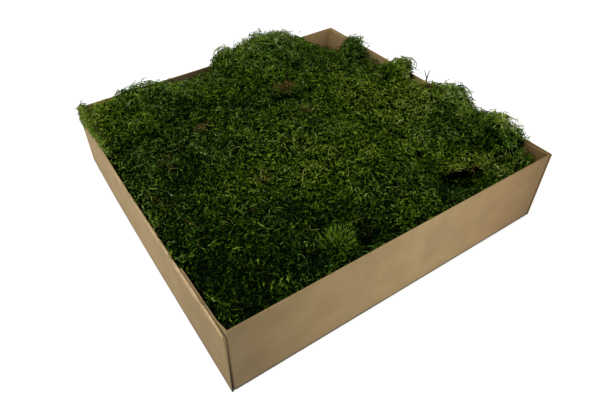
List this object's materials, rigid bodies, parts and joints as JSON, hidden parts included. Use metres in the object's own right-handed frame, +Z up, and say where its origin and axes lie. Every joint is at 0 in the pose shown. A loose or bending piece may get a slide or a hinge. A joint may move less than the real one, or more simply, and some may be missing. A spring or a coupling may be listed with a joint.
{
  "type": "tray of sheet moss",
  "caption": "Shallow square tray of folded kraft board, filled above its rim with loose sheets and clumps of green carpet moss.",
  "frame": {"origin": "middle of the tray's flat underside", "axes": "+Z up, out of the open tray; +X along the front wall towards the right wall; +Y from the front wall towards the back wall"},
  "size_m": [0.4102, 0.4055, 0.1198],
  "materials": {
    "tray": "matt brown kraft board",
    "moss_front_sheet": "dense, soft, matt moss shoots",
    "moss_left_sheet": "dense, soft, matt moss shoots",
    "moss_right_sheet": "dense, soft, matt moss shoots",
    "moss_front_strip": "dense, soft, matt moss shoots",
    "moss_back_clump": "dense, soft, matt moss shoots",
    "moss_corner_sheet": "dense, soft, matt moss shoots",
    "moss_corner_tuft": "dense, soft, matt moss shoots",
    "moss_wall_clump_1": "dense, soft, matt moss shoots",
    "moss_wall_clump_2": "dense, soft, matt moss shoots",
    "moss_wall_clump_3": "dense, soft, matt moss shoots"
  },
  "bodies": {
    "root": {"tray": "tray", "moss_front_sheet": "moss_front_sheet", "moss_left_sheet": "moss_left_sheet", "moss_right_sheet": "moss_right_sheet", "moss_front_strip": "moss_front_strip", "moss_back_clump": "moss_back_clump", "moss_corner_sheet": "moss_corner_sheet", "moss_corner_tuft": "moss_corner_tuft", "moss_wall_clump_1": "moss_wall_clump_1", "moss_wall_clump_2": "moss_wall_clump_2", "moss_wall_clump_3": "moss_wall_clump_3"}
  },
  "joints": []
}
